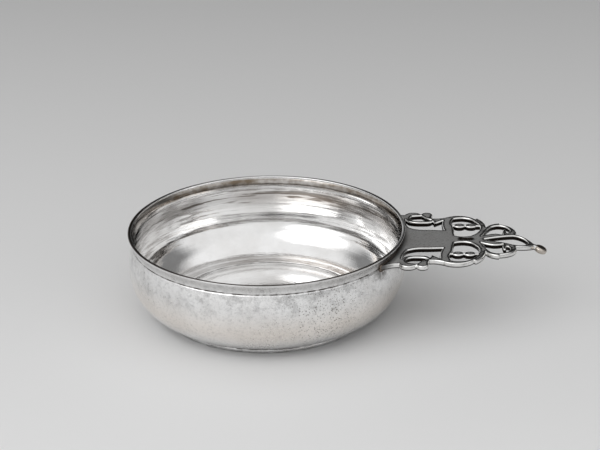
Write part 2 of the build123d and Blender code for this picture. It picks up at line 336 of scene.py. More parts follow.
def add_relief(silver, depth, pitted=None):
    """Bump of the fine relief. Pits a third of a mm across gather within 40 mm of one place."""
    tree, spot_on = silver.tree, silver.spot_on
    turned = put(tree, "Mapping", {"Vector": spot_on, "Scale": (1.0, 0.16, 0.4),
                                   "Rotation": (0.3, 0.2, 0.6)})
    scratch = put(tree, "TexNoise", {"Vector": turned, "Scale": 1 / (SCRATCH * MM), "Detail": 3.0,
                                     "Roughness": 0.6})
    blows = put(tree, "TexNoise", {"Vector": spot_on, "Scale": 1 / (BLOW * MM), "Detail": 2.0})
    relief = put(tree, "Math", silver.streaks, depth, operation="MULTIPLY")
    relief = put(tree, "Math", blows, 0.4, relief, operation="MULTIPLY_ADD")
    relief = put(tree, "Math", scratch, 0.22, relief, operation="MULTIPLY_ADD")
    if pitted:
        pits = put(tree, "TexVoronoi", {"Vector": spot_on, "Scale": 1 / (PIT * MM)})
        away = put(tree, "VectorMath", spot_on, tuple(c * MM for c in pitted), operation="DISTANCE")
        near = put(tree, "MapRange", away, 6 * MM, 42 * MM, 0.46, 0.06)
        size = put(tree, "Math", near, silver.grain, operation="MULTIPLY")
        pit = put(tree, "Math", pits, size, operation="LESS_THAN")
        silver.layers.append((pit, PIT_TONE))
        relief = put(tree, "Math", pit, -0.5, relief, operation="MULTIPLY_ADD")
    return put(tree, "Bump", {"Height": relief, "Strength": 1.0, "Distance": RELIEF_DEPTH * MM})


print("relief", RELIEF_DEPTH, "mm deep, blows", BLOW, "mm apart")

# %% The finished silver
STREAK_DEPTH = 0.45


def finish_silver(silver, roughness, inside=None, pitted=None):
    """Layers, roughness and shader. From one place on, the inside is smoother with deeper streaks."""
    tree, depth = silver.tree, STREAK_DEPTH
    rough = put(tree, "MapRange", silver.clouds, 0.35, 0.65, *roughness)
    if inside:
        start, share = inside
        smooth = put(tree, "MapRange", silver.along, start - 2, start, 1.0, share)
        rough = put(tree, "Math", rough, smooth, operation="MULTIPLY")
        depth = put(tree, "MapRange", silver.along, start - 2, start, STREAK_DEPTH, 1.0)
    if silver.kept:
        rough = put(tree, "Math", rough, silver.kept, operation="MULTIPLY")
    # tarnish is rougher than polished metal
    for layer, more in ((silver.lined, 0.11), (silver.film, 0.3), (silver.dulled, 0.2)):
        if layer:
            rough = put(tree, "Math", layer, more, rough, operation="MULTIPLY_ADD")
    bump = add_relief(silver, depth, pitted)
    colour = silver.colour
    for strength, tone in silver.layers:
        colour = put(tree, "Mix", {"Factor": strength, 6: colour, 7: linear(tone)}, data_type="RGBA")
    shader = put(tree, "BsdfPrincipled", {"Base Color": colour, "Metallic": 1.0, "Roughness": rough,
                                          "Normal": bump})
    put(tree, "OutputMaterial", shader)
    print(silver.material.name, "has", len(tree.nodes), "nodes")
    return silver.material


# %% [markdown]
# ## A lathe from Geometry Nodes
# Bowl, foot ring and knob are all round, so one tree turns each of them. It takes a line of profile
# points and lays them on a grid, one column for each step around the axis. The seam and the poles are
# then merged. A faint noise moves the surface by hundredths of a millimetre, which is what a
# planishing hammer leaves: on bright metal it makes the reflections flow. A rim is filed true after
# the hammering, so there it fades out.


# %% Inputs of a tree
def new_tree(name, inputs, result):
    """A Geometry Nodes tree with named inputs and one result."""
    tree = bpy.data.node_groups.new(name, "GeometryNodeTree")
    for title, kind in inputs.items():
        tree.interface.new_socket(name=title, in_out="INPUT", socket_type="NodeSocket" + kind)
    tree.interface.new_socket(name=result, in_out="OUTPUT", socket_type="NodeSocketGeometry")
    return tree, put(tree, "NodeGroupInput").outputs


def end_tree(tree, shape, metal, result):
    """Smooth shading, real geometry and the metal, as every tree here ends."""
    shape = put(tree, "GeometryNodeSetShadeSmooth", shape)
    shape = put(tree, "GeometryNodeRealizeInstances", shape)
    shape = put(tree, "GeometryNodeSetMaterial", {"Geometry": shape, "Material": metal})
    put(tree, "NodeGroupOutput", {result: shape})
    print(tree.name, "has", len(tree.nodes), "nodes")
    return tree


# %% The lathe's grid
LATHE, given = new_tree("lathe", {
    "Profile": "Geometry", "Steps round": "Int", "Hammer depth": "Float", "Hammer mark": "Float",
    "Filed place": "Float", "Filed width": "Float", "Seed": "Float", "Metal": "Material"}, "Turned")
count = put(LATHE, "GeometryNodeAttributeDomainSize",
            {"Geometry": given["Profile"]}).outputs["Point Count"]
columns = put(LATHE, "FunctionNodeIntegerMath", given["Steps round"], 1, operation="ADD")
grid = put(LATHE, "GeometryNodeMeshGrid", {"Vertices X": columns, "Vertices Y": count}).outputs["Mesh"]
index = put(LATHE, "GeometryNodeInputIndex")
row = put(LATHE, "FunctionNodeIntegerMath", index, count, operation="MODULO")
column = put(LATHE, "FunctionNodeIntegerMath", index, count, operation="DIVIDE_FLOOR")
place = put(LATHE, "GeometryNodeInputPosition")
point = put(LATHE, "GeometryNodeSampleIndex", {"Geometry": given["Profile"], "Value": place,
                                               "Index": row}, data_type="FLOAT_VECTOR")
share = put(LATHE, "Math", column, given["Steps round"], operation="DIVIDE")
angle = put(LATHE, "Math", share, 2 * pi, operation="MULTIPLY")
turned = put(LATHE, "VectorRotate", {"Vector": point, "Angle": angle}, rotation_type="Z_AXIS")
along = put(LATHE, "GeometryNodeInputNamedAttribute", {"Name": "along"}, data_type="FLOAT")
carried = put(LATHE, "GeometryNodeSampleIndex", {"Geometry": given["Profile"], "Value": along,
                                                 "Index": row}, data_type="FLOAT")
shape = put(LATHE, "GeometryNodeSetPosition", {"Geometry": grid, "Position": turned})
shape = put(LATHE, "GeometryNodeStoreNamedAttribute", {"Geometry": shape, "Name": "along",
                                                       "Value": carried}, data_type="FLOAT")
shape = put(LATHE, "GeometryNodeMergeByDistance", {"Geometry": shape, "Distance": 1e-6})
print("lathe takes", [name for name in given.keys() if name])

# %% The lathe's hammer
fine = put(LATHE, "Math", 1.0, given["Hammer mark"], operation="DIVIDE")
blows = put(LATHE, "TexNoise", {"Vector": place, "W": given["Seed"], "Scale": fine, "Detail": 1.0},
            noise_dimensions="4D")
inward = put(LATHE, "Math", blows, given["Hammer depth"], operation="MULTIPLY")
filed = put(LATHE, "Math", along, given["Filed place"], operation="SUBTRACT")
filed = put(LATHE, "Math", filed, operation="ABSOLUTE")
filed = put(LATHE, "Math", filed, given["Filed width"], operation="DIVIDE")
filed = put(LATHE, "MapRange", filed, 0.35, 1.0, 0.0, 1.0)
inward = put(LATHE, "Math", inward, filed, operation="MULTIPLY")
outward = put(LATHE, "VectorMath", place, (1.0, 1.0, 0.0), operation="MULTIPLY")
outward = put(LATHE, "VectorMath", outward, operation="NORMALIZE")
inward = put(LATHE, "Math", inward, -1.0, operation="MULTIPLY")
step = put(LATHE, "VectorMath", {0: outward, "Scale": inward}, operation="SCALE")
lift = put(LATHE, "CombineXYZ", {"Z": inward})
step = put(LATHE, "VectorMath", step, lift, operation="ADD")
shape = put(LATHE, "GeometryNodeSetPosition", {"Geometry": shape, "Offset": step})
end_tree(LATHE, shape, given["Metal"], "Turned")


# %% From tree to plain mesh
def settle(piece):
    """Turn what the nodes make into the piece's plain mesh, with its faces pointing outwards."""
    seen = piece.evaluated_get(bpy.context.evaluated_depsgraph_get())
    mesh = bpy.data.meshes.new_from_object(seen)
    piece.modifiers.clear()
    piece.data = mesh
    shell = bmesh.new()
    shell.from_mesh(mesh)
    bmesh.ops.recalc_face_normals(shell, faces=shell.faces)
    shell.to_mesh(mesh)
    open_edges = sum(not edge.is_manifold for edge in shell.edges)
    shell.free()
    mesh.name = piece.name
    print(piece.name, len(mesh.polygons), "faces,", open_edges, "open edges")
    return piece


def give(piece, tree, values):
    """Add the tree to the piece, set its named inputs and keep the result."""
    modifier = piece.modifiers.new(tree.name, "NODES")
    modifier.node_group = tree
    for item in tree.interface.items_tree:
        if item.item_type == "SOCKET" and item.in_out == "INPUT" and item.name in values:
            modifier[item.identifier] = values[item.name]
    return settle(piece)


def turn_on_lathe(name, profile, metal, steps, depth=0.0, mark=13.0, filed=(-9.0, 1.0), seed=1.0):
    """Turn a profile of (radius, height) points in mm about the axis."""
    mesh = bpy.data.meshes.new(name)
    mesh.from_pydata([(r * MM, 0.0, z * MM) for r, z in profile],
                     [(i, i + 1) for i in range(len(profile) - 1)], [])
    run = np.concatenate(([0.0], np.cumsum(np.hypot(*np.diff(np.array(profile), axis=0).T))))
    mesh.attributes.new("along", "FLOAT", "POINT").data.foreach_set("value", run.astype(np.float32))
    return give(add_object(name, mesh), LATHE, {
        "Steps round": steps, "Hammer depth": depth * MM, "Hammer mark": mark * MM,
        "Filed place": filed[0], "Filed width": filed[1], "Seed": seed, "Metal": metal})


# %% [markdown]
# ## The bowl
# The profile runs from the middle of the underside out under the floor, up the outside, over the thick
# rim, down the inside and back to the middle. Each stretch is an arc. The rim is rounded outside and
# leans in a little. Creases in hammered metal are never knife-sharp, so the line is averaged a little
# where the lip meets the side and where the side meets the floor.


# %% Arcs of the profile
def sweep(centre, radius, start, end, count):
    """Points of an arc about a centre, from one angle in degrees to another."""
    return [(centre[0] + radius * cos(radians(a)), centre[1] + radius * sin(radians(a)))
            for a in np.linspace(start, end, count)]


def bow(start, pull, end, count):
    """Points of a shallow curve that a third point pulls aside."""
    a, b, c = np.array(start), np.array(pull), np.array(end)
    return [tuple((1 - t) ** 2 * a + 2 * t * (1 - t) * b + t * t * c)
            for t in np.linspace(0.0, 1.0, count)]


def wall(inset, low_count, high_count):
    """Side and lip from the floor to the rim, a wall's thickness inside the outer face."""
    low, high = LOW_RADIUS - inset, HIGH_RADIUS - inset
    low_centre = (BELLY_RADIUS - LOW_RADIUS, BELLY_Z)
    high_centre = (BELLY_RADIUS - HIGH_RADIUS, BELLY_Z)
    foot_turn = -degrees(asin((BELLY_Z - FOOT_HEIGHT - inset) / low))
    neck_turn = degrees(asin((NECK_Z - BELLY_Z) / high))
    side = sweep(low_centre, low, foot_turn, 0.0, low_count)
    side += sweep(high_centre, high, 0.0, neck_turn, high_count)[1:]
    neck = side[-1]
    rim = (RIM_RADIUS - (RIM_EDGE if inset else 0.0), HEIGHT - RIM_EDGE / 2)
    pull = ((neck[0] + rim[0]) / 2 - 2 * LIP_HOLLOW, (neck[1] + rim[1]) / 2)
    return side, bow(neck, pull, rim, 16)[1:]


outer_side, outer_lip = wall(0.0, 30, 16)
inner_side, inner_lip = wall(SHEET, 52, 26)
print("wall points:", len(outer_side + outer_lip), "outside,", len(inner_side + inner_lip), "inside")

# %% Rim and floor
# rounding of the outer and inner edge in mm, and lean of the top in degrees
RIM_OUT, RIM_IN, RIM_LEAN = 0.5, 0.35, 13.0
rim_round = sweep((RIM_RADIUS - RIM_OUT, HEIGHT - RIM_OUT), RIM_OUT, 0.0, 90.0 + RIM_LEAN, 9)
lean_from = rim_round[-1]
lean_x = RIM_RADIUS - RIM_EDGE + RIM_IN * (1 - sin(radians(RIM_LEAN)))
lean_z = lean_from[1] - (lean_from[0] - lean_x) * tan(radians(RIM_LEAN))
rim_round += [((1 - t) * lean_from[0] + t * lean_x, (1 - t) * lean_from[1] + t * lean_z)
              for t in (0.25, 0.5, 0.75)]
inner_centre = (RIM_RADIUS - RIM_EDGE + RIM_IN, lean_z - RIM_IN * cos(radians(RIM_LEAN)))
rim_round += sweep(inner_centre, RIM_IN, 90.0 + RIM_LEAN, 180.0, 8)
dome_centre = (0.0, FLOOR_Z + DOME_RISE - DOME_RADIUS)
dome_turn = degrees(asin(FLOOR_RADIUS / DOME_RADIUS))
under = sweep(dome_centre, DOME_RADIUS, 90.0, 90.0 - dome_turn, 14)
floor = sweep(dome_centre, DOME_RADIUS + SHEET, 90.0 - dome_turn, 90.0, 28)
bowl_profile = under + outer_side + outer_lip + rim_round + inner_lip[::-1] + inner_side[::-1] + floor
print("points of the plain profile:", len(bowl_profile))


# %% Soft creases
def soften(profile, place, reach):
    """Average the line near a crease."""
    line = np.array(profile)
    near = np.exp(-((line - np.array(place)) ** 2).sum(1) / (2 * reach ** 2))[:, None]
    for _ in range(14):
        middle = line.copy()
        middle[1:-1] = (line[:-2] + 2 * line[1:-1] + line[2:]) / 4
        line = line + (middle - line) * near
    return [tuple(p) for p in line]


def refine(profile, place, reach, gap):
    """Add points near a crease, so that it can be rounded."""
    out = [profile[0]]
    for a, b in zip(profile, profile[1:]):
        near = hypot((a[0] + b[0]) / 2 - place[0], (a[1] + b[1]) / 2 - place[1]) < reach
        parts = max(1, round(hypot(b[0] - a[0], b[1] - a[1]) / gap)) if near else 1
        out += [(a[0] + (b[0] - a[0]) * i / parts, a[1] + (b[1] - a[1]) * i / parts)
                for i in range(1, parts + 1)]
    return out


creases = {"outer crease": outer_side[-1], "inner crease": inner_side[-1], "channel": floor[0]}
for crease in creases.values():
    bowl_profile = soften(refine(bowl_profile, crease, 3.0, 0.21), crease, 0.7)
print("points with soft creases:", len(bowl_profile))

# %% Chased line and courses of blows
GROOVE_DEPTH, GROOVE_HALF = 0.27, 0.42
COURSES = ((0.03, 5.3, 0.0), (0.022, 3.1, 1.0))  # depth and length of each wave in mm, and its start


def courses(z):
    """How far courses of raising blows move the inside at a height. They fade at floor and crease."""
    waves = sum(depth * sin(z * 2 * pi / length + start) for depth, length, start in COURSES)
    return waves * min(1.0, max(0.0, (z - 8) / 6)) * min(1.0, max(0.0, (35.5 - z) / 2))


# a line was chased under the lip: a groove outside, a ridge inside
bowl_profile = [(r - GROOVE_DEPTH * exp(-((z - NECK_Z) / GROOVE_HALF) ** 2) if r > 60 else r, z)
                for r, z in bowl_profile]
inner_from = int(np.argmax([z for _, z in bowl_profile]))
bowl_profile = [(r + courses(z) if i > inner_from else r, z) for i, (r, z) in enumerate(bowl_profile)]
bowl_profile[0] = (0.0, bowl_profile[0][1])
bowl_profile[-1] = (0.0, bowl_profile[-1][1])
print("profile points:", len(bowl_profile))


# %% Places along the profile
def along_profile(profile, place):
    """Length of the profile in mm from its start to its point nearest a place."""
    line = np.array(profile)
    nearest = int(((line - np.array(place)) ** 2).sum(1).argmin())
    return float(np.hypot(*np.diff(line[:nearest + 1], axis=0).T).sum())


crease_out, crease_in, channel = (along_profile(bowl_profile, crease) for crease in creases.values())
rim_top = along_profile(bowl_profile, (RIM_RADIUS - RIM_EDGE / 2, HEIGHT))
seat_out = along_profile(bowl_profile, (54.0, 3.4))  # just above the foot ring
lip_out = (crease_out + rim_top) / 2
print("crease, rim, crease, channel:", [round(v, 1) for v in (crease_out, rim_top, crease_in, channel)])

# %% Silver of the bowl
WARM_VEIL, GREY_VEIL = "#EBDFD2", "#969492"
handle_root = sqrt(NECK_RADIUS ** 2 - HANDLE_HALF ** 2)
silver = start_silver("planished_sterling_silver")
# thin even veils of tarnish: warm low on the side, grey outside on the lip and inside under it
silver.layers += [(film_at(silver, seat_out + 18.0, 14.0, 0.45), WARM_VEIL),
                  (film_at(silver, lip_out, 3.6, 0.42), GREY_VEIL),
                  (film_at(silver, crease_in + 5.0, 8.0, 0.46), GREY_VEIL)]
keep_rim_bright(silver, rim_top, 1.6)
add_dull_patches(silver, band=(crease_out - 3.0, 16.0, 0.45), outside=rim_top + 2.0)
add_lip_film(silver, rim_top + 1.25, crease_in)
add_raising_streaks(silver, crease_in + 5.0, 8.0, 0.9)
add_film(
    silver,
    # the first band paints shade on the bowl just above the foot ring; the others are film in the
    # creases and the channel
    bands=[(seat_out - 1.8, 2.6, 1.3), (crease_out + 0.2, 0.6, 1.3), (crease_in + 0.9, 0.5, 0.5),
           (channel - 6.2, 0.7, 0.45), (channel, 0.7, 0.8)],
    # solder film and painted shade at the lower corners of the handle's root
    solder_and_shade_spots=[(handle_root, side * HANDLE_HALF, ROOT_TOP - HANDLE_THICK) for side in (-1, 1)],
    # a painted dark reflection line along the rim's top
    rim=(rim_top - 0.12, 0.95, 2.5),
)
BOWL_SILVER = finish_silver(silver, roughness=(0.15, 0.26), inside=(rim_top + 2.0, 0.36),
                            pitted=(34.0, -57.0, 22.0))

# %% Turn the bowl
bowl = turn_on_lathe("raised_bowl", bowl_profile, BOWL_SILVER, steps=320, depth=0.14, mark=11.0,
                     filed=(rim_top, 4.0), seed=4.0)

# %% [markdown]
# ## The foot ring
# A length of half-round wire was bent into a ring and soldered under the bowl. Its lower edge is worn.
# Film and painted shade sit along the seam, and painted shade along the lower edge. It is drawn as half
# an ellipse and turned on the same lathe.

# %% Turn the foot ring
seat, half_high = FOOT_RADIUS - FOOT_WIDTH, FOOT_HEIGHT / 2
ring_profile = [(seat, 1.95), (seat, 1.0), *sweep((seat + 0.45, 0.45), 0.45, 180.0, 270.0, 7)]
ring_profile += [(FOOT_RADIUS - 0.2 + (FOOT_SWELL + 0.2) * cos(a), half_high * (1 + sin(a)))
                 for a in np.radians(np.linspace(-90.0, 75.0, 23))]
ring_profile += [(FOOT_RADIUS - 0.4, FOOT_HEIGHT + 0.05), ring_profile[0]]
ring_seam = along_profile(ring_profile, (FOOT_RADIUS, FOOT_HEIGHT))
ring_low = along_profile(ring_profile, (FOOT_RADIUS + 0.1, 0.05))
silver = start_silver("drawn_silver_wire")
add_dull_patches(silver)
# the band at the seam is film and painted shade under the bowl; the band at the lower edge is painted
# shade where the ring meets the paper
add_film(silver, bands=[(ring_seam, 1.6, 1.6), (ring_low, 0.9, 1.4)])
RING_SILVER = finish_silver(silver, roughness=(0.12, 0.2))
foot_ring = turn_on_lathe("wire_foot_ring", ring_profile, RING_SILVER, steps=256)

# %% [markdown]
# ## Cast silver
# The handle was cast flat in sand, then pierced, filed and polished by hand. Its top is smooth but
# greyer than the bowl, with file and cloth scratches along its length. Its edges are worn bright. The
# lower walls of the piercings and of the outer edge are darkened with brown film and painted shade, and
# so is the handle beside the bowl. The mesh carries how far each point lies from the nearest edge, and
# how strongly each point of a wall is darkened.

# %% Cast silver
CAST_CLOUD, PORE, FILE_MARK = 7, 0.9, 0.45  # mm. The file marks are drawn a little coarser than they are


def cast_silver(name, light, shade, film, pore_share, root_film_and_shade=0.0):
    """Filed cast silver: a satin grey top, bright worn edges, a broken brown film, and painted shade on
    the lower walls and beside the bowl.
    """
    material = bpy.data.materials.new(name)
    tree = fresh_tree(material)
    spot_on = put(tree, "TexCoord").outputs["Object"]
    edge = put(tree, "Attribute", attribute_name="from_edge").outputs["Fac"]
    walls = put(tree, "Attribute", attribute_name="wall_film").outputs["Fac"]
    clouds = put(tree, "TexNoise", {"Vector": spot_on, "Scale": 1 / (CAST_CLOUD * MM), "Detail": 4.0})
    grain = put(tree, "TexNoise", {"Vector": spot_on, "Scale": 1 / (PORE * MM), "Detail": 3.0})
    cloudy = put(tree, "MapRange", clouds, 0.35, 0.65, 0.0, 1.0)
    colour = put(tree, "Mix", {"Factor": cloudy, 6: linear(light), 7: linear(shade)}, data_type="RGBA")
    # film gathers in the pores of the casting; the same dark colour on the lower walls of the piercings
    # and beside the bowl is film and painted shade
    pores = put(tree, "MapRange", grain, 0.5, 0.72, 0.0, pore_share)
    inner = put(tree, "MapRange", edge, 0.1, 1.2, 0.2, 1.0)
    pores = put(tree, "Math", pores, inner, operation="MULTIPLY")
    level = put(tree, "VectorMath", spot_on, (1.0, 1.0, 0.0), operation="MULTIPLY")
    reach = put(tree, "VectorMath", level, operation="LENGTH")
    # film and painted shade on the handle next to the bowl
    near, far = (NECK_RADIUS + 1.2) * MM, (NECK_RADIUS + 4.5) * MM
    beside = put(tree, "MapRange", reach, near, far, root_film_and_shade, 0.0)
    dark = put(tree, "Math", pores, walls, operation="MAXIMUM")
    dark = put(tree, "Math", dark, beside, operation="MAXIMUM")
    colour = put(tree, "Mix", {"Factor": dark, 6: colour, 7: linear(film)}, data_type="RGBA")
    worn = put(tree, "MapRange", edge, 0.6, 1.3, 0.08, 0.35)
    rough = put(tree, "Math", clouds, 0.1, worn, operation="MULTIPLY_ADD")
    rough = put(tree, "Math", dark, 0.25, rough, operation="MULTIPLY_ADD")
    # file marks run along the handle
    turned = put(tree, "Mapping", {"Vector": spot_on, "Scale": (0.12, 1.0, 1.0),
                                   "Rotation": (0.0, 0.0, 0.25)})
    marks = put(tree, "TexNoise", {"Vector": turned, "Scale": 1 / (FILE_MARK * MM), "Detail": 2.0})
    bump = put(tree, "Bump", {"Height": marks, "Strength": 0.15, "Distance": 0.1 * MM})
    shader = put(tree, "BsdfPrincipled", {"Base Color": colour, "Metallic": 1.0, "Roughness": rough,
                                          "Normal": bump})
    put(tree, "OutputMaterial", shader)
    print(name, "has", len(tree.nodes), "nodes")
    return material


HANDLE_SILVER = cast_silver("filed_cast_silver", "#F2F2F1", "#DAD9D7", "#1E1916", 0.4, root_film_and_shade=0.85)
KNOB_SILVER = cast_silver("worn_cast_silver", "#D2CBC3", "#A29689", "#4A3D34", 0.8)

# %% [markdown]
# ## Drawing the handle
# The handle is drawn flat first, as a pattern maker does: one outline and the openings inside it.
# Points are given in hundredths of the handle's reach and half width. A line is traced in rows: one
# more point is a straight, two are an arc and more are a smooth curve. Only one half is drawn, because
# the other is its mirror image.

# %% Lines of the pattern
GAP = 0.3


def spot(along, across):
    """Point of the pattern in mm, from hundredths of the reach from the neck and of the half width."""
    return np.array((NECK_RADIUS + HANDLE_REACH * along / 100, HANDLE_HALF * across / 100))


def straight(a, b):
    """Points from a up to b, without b."""
    count = max(1, round(np.hypot(*(b - a)) / GAP))
    return [a + (b - a) * i / count for i in range(count)]


def arc(a, via, b):
    """Points of the arc from a through a middle point up to b, without b."""
    p, q = via - a, b - a
    twice = 2 * (p[0] * q[1] - p[1] * q[0])
    centre = a + np.array((q[1] * (p @ p) - p[1] * (q @ q), p[0] * (q @ q) - q[0] * (p @ p))) / twice
    radius = np.hypot(*(a - centre))
    start, middle, end = (atan2(*(point - centre)[::-1]) for point in (a, via, b))
    sense = 1 if ((middle - start) % (2 * pi)) < ((end - start) % (2 * pi)) else -1
    angle = ((end - start) * sense) % (2 * pi)
    count = max(3, round(radius * angle / GAP))
    turns = [start + sense * angle * i / count for i in range(count)]
    return [centre + radius * np.array((cos(turn), sin(turn))) for turn in turns]


def mirrored(points):
    """The same line on the other side of the handle's long axis."""
    return [np.array((x, -y)) for x, y in points]


print("points of the pattern lie", GAP, "mm apart")


# %% Smooth curves of the pattern
def flow(*points):
    """Points of a smooth curve through the given ones, without the last."""
    p = np.array(points)
    t = np.concatenate(([0.0], np.cumsum(np.hypot(*np.diff(p, axis=0).T))))
    slope = np.diff(p, axis=0) / np.diff(t)[:, None]
    ahead, behind = np.diff(t)[1:, None], np.diff(t)[:-1, None]
    inner = (slope[:-1] * ahead + slope[1:] * behind) / (ahead + behind)
    lead = np.vstack((2 * slope[0] - inner[0], inner, 2 * slope[-1] - inner[-1]))
    out = []
    for i, span in enumerate(np.diff(t)):
        count = max(2, round(span / GAP))
        for u in np.arange(count) / count:
            out.append((1 + 2 * u) * (1 - u) ** 2 * p[i] + u * (1 - u) ** 2 * span * lead[i]
                       + u * u * (3 - 2 * u) * p[i + 1] + u * u * (u - 1) * span * lead[i + 1])
    return out


print("a curve over three points has", len(flow(spot(0, 0), spot(5, 5), spot(10, 0))), "points")


# %% Tracing a line
def trace(start, *rows):
    """A line over spots: a row leads on straight to one, by an arc over two, or smoothly over more."""
    out, here = [], spot(*start)
    for row in rows:
        points = [here, *(spot(*place) for place in row)]
        lead = {2: straight, 3: arc}.get(len(points), flow)
        out += lead(*points)
        here = points[-1]
    return out


print("a small arc has", len(trace((0, 0), [(6, 8), (12, 0)])), "points")

# %% Outline
ROOT_CORNER, LOOP_END = (-7.2, 94.7), (94.9, 3.1)
root_turn = asin(HANDLE_HALF / NECK_RADIUS)
knob_x = NECK_RADIUS + HANDLE_REACH
wall_corner = np.array((NECK_RADIUS * cos(root_turn), HANDLE_HALF))
knob_side = np.array((knob_x, spot(*LOOP_END)[1]))
edge = trace(
    ROOT_CORNER, [(-3.5, 91.6), (0.2, 91.0)],
    [(6.5, 100.0), (12.5, 93.1)], [(17.1, 100.0), (20.8, 90.3)],  # two lobes
    [(20.5, 83.5), (21.2, 77.3)], [(26.2, 77.9), (31.4, 81.9)],  # waist
    [(41.2, 88.2), (52.5, 75.1)], [(54.0, 77.6)],  # around the round piercing to a barb
    [(58.6, 63.2), (60.5, 44.2)], [(63.9, 53.9), (69.8, 58.9)], [(70.7, 55.1)],  # up to the leaf's notch
    [(78.5, 46.7), (82.6, 29.3)], [(82.0, 22.1)],  # the leaf's back
    [(88.7, 15.6), LOOP_END],  # around the loop
)
half_outline = [*straight(wall_corner, spot(*ROOT_CORNER)), *edge,
                *straight(spot(*LOOP_END), knob_side), knob_side]
root_radius = NECK_RADIUS - 0.4
root = [root_radius * np.array((cos(a), sin(a))) for a in np.linspace(-root_turn, root_turn, 220)]
outline = root + half_outline + mirrored(half_outline)[::-1]
print("outline:", len(outline), "points")

# %% Piercings beside the plate
long_piercing = trace(
    (30.5, 32.1),
    [(20.6, 33.6), (10.8, 35.2), (5.0, 41.7), (2.4, 54.5), (1.4, 73.5)],  # along the plate to its tip
    [(4.1, 65.1), (9.3, 61.7), (14.6, 61.4), (19.4, 63.2), (21.5, 68.2)],  # back along the scroll
    [(22.6, 58.9)], [(29.0, 71.0)],  # a tooth
    [(28.6, 51.4), (30.5, 32.1)],
)
kidney_piercing = trace(
    (20.6, 72.9), [(18.0, 68.5), (13.1, 66.7), (8.3, 67.6), (5.3, 72.6), (4.4, 79.8), (5.9, 87.2)],
    [(9.3, 88.5), (12.6, 89.4)], [(14.3, 84.7), (16.7, 78.5), (20.6, 72.9)],
)
print("long piercing:", len(long_piercing), "points, kidney:", len(kidney_piercing))

# %% Round and leaf piercings
round_piercing = trace(
    (38.0, 13.1), [(37.3, 28.0), (36.8, 43.6), (35.0, 60.7), (36.5, 77.3)],
    [(43.6, 80.4), (52.5, 66.4)], [(56.2, 38.3), (50.1, 13.1)], [(43.9, 9.3), (38.0, 13.1)],
)
leaf_piercing = trace(
    (57.0, 10.9),
    [(59.5, 23.7), (61.8, 37.4), (65.1, 47.7), (69.0, 51.4), (73.5, 48.9), (77.0, 41.4), (78.0, 32.4),
     (76.8, 24.9)],
    [(75.6, 24.3), (74.9, 26.8)], [(75.0, 34.3)],  # a hook points into the leaf
    [(74.1, 36.4), (73.1, 34.3)], [(72.5, 24.9), (73.1, 16.2)],
    [(70.5, 19.0), (66.6, 20.2), (61.7, 17.1), (57.0, 10.9)],
)
print("round piercing:", len(round_piercing), "points, leaf:", len(leaf_piercing))

# %% Loop and slot
THROAT, LOOP_TIP = (60.3, 2.8), (91.1, 0.0)
half_loop = trace(THROAT, [(66.9, 7.8), (73.8, 12.1), (79.8, 16.5)], [(87.4, 12.5), LOOP_TIP])
throat_back = arc(spot(*THROAT) * (1, -1), spot(59.1, 0.0), spot(*THROAT))
loop_piercing = throat_back + half_loop + [spot(*LOOP_TIP)] + mirrored(half_loop)[::-1][:-1]
slot_x, slot_reach, slot_half, slot_round = spot(46.3, 0.0)[0], 3.1, 0.75, 0.7
slot = [np.array((slot_x + (slot_reach - slot_round) * (1 if cos(a) > 0 else -1) + slot_round * cos(a),
                  (slot_half - slot_round) * (1 if sin(a) > 0 else -1) + slot_round * sin(a)))
        for a in (np.arange(40) + 0.5) * 2 * pi / 40]
print("loop:", len(loop_piercing), "points, slot:", len(slot))

# %% Bar with two lobes across each round piercing
LOBES = (spot(41.1, 52.0), spot(49.5, 52.0))
BAR_HALF, LOBE_HALF, LOBE_REACH = 0.6, 2.0, 2.65


def bar_half(x):
    """Half width of the bar and its lobes at a distance along the handle."""
    lobes = [LOBE_HALF * sqrt(max(0.0, 1 - ((x - lobe[0]) / LOBE_REACH) ** 2)) for lobe in LOBES]
    return max(BAR_HALF, *lobes)


bar_run = np.arange(spot(34.0, 0.0)[0], spot(57.5, 0.0)[0], 0.12)
bar = [np.array((x, LOBES[0][1] + bar_half(x))) for x in bar_run]
bar += [np.array((x, LOBES[0][1] - bar_half(x))) for x in bar_run[::-1]]
half_openings = [long_piercing, kidney_piercing, round_piercing, leaf_piercing]
openings = half_openings + [mirrored(o) for o in half_openings] + [loop_piercing, slot]
bars = [bar, mirrored(bar)]
print("openings drawn:", len(openings), "points:", sum(map(len, openings)) + len(outline))

# %% [markdown]
# ## From drawing to casting
# The drawing is cut into triangles that follow every line, and triangles in an opening are thrown
# away. What is left has a border, and that border is lifted into a wall with rounded edges. The
# rounding gets smaller where the metal is narrow, so pointed tips stay clean. Last, the flat plate is
# given its slope and its bend.


# %% Metal and openings
def inside(loop, points):
    """Which points lie inside a closed line."""
    a = np.array(loop)
    b = np.roll(a, -1, axis=0)
    x, y = points[:, :1], points[:, 1:]
    crosses = (a[:, 1] > y) != (b[:, 1] > y)
    with np.errstate(divide="ignore", invalid="ignore"):
        at = a[:, 0] + (y - a[:, 1]) * (b[:, 0] - a[:, 0]) / (b[:, 1] - a[:, 1])
    return (crosses & (x < at)).sum(1) % 2 == 1


def is_metal(points):
    """Which points of the drawing are metal."""
    holes = np.zeros(len(points), bool)
    for opening in openings:
        holes |= inside(opening, points)
    for crossing in bars:
        holes &= ~inside(crossing, points)
    return inside(outline, points) & ~holes


print("middle of the loop is metal:", bool(is_metal(spot(80.0, 0.0)[None])[0]))


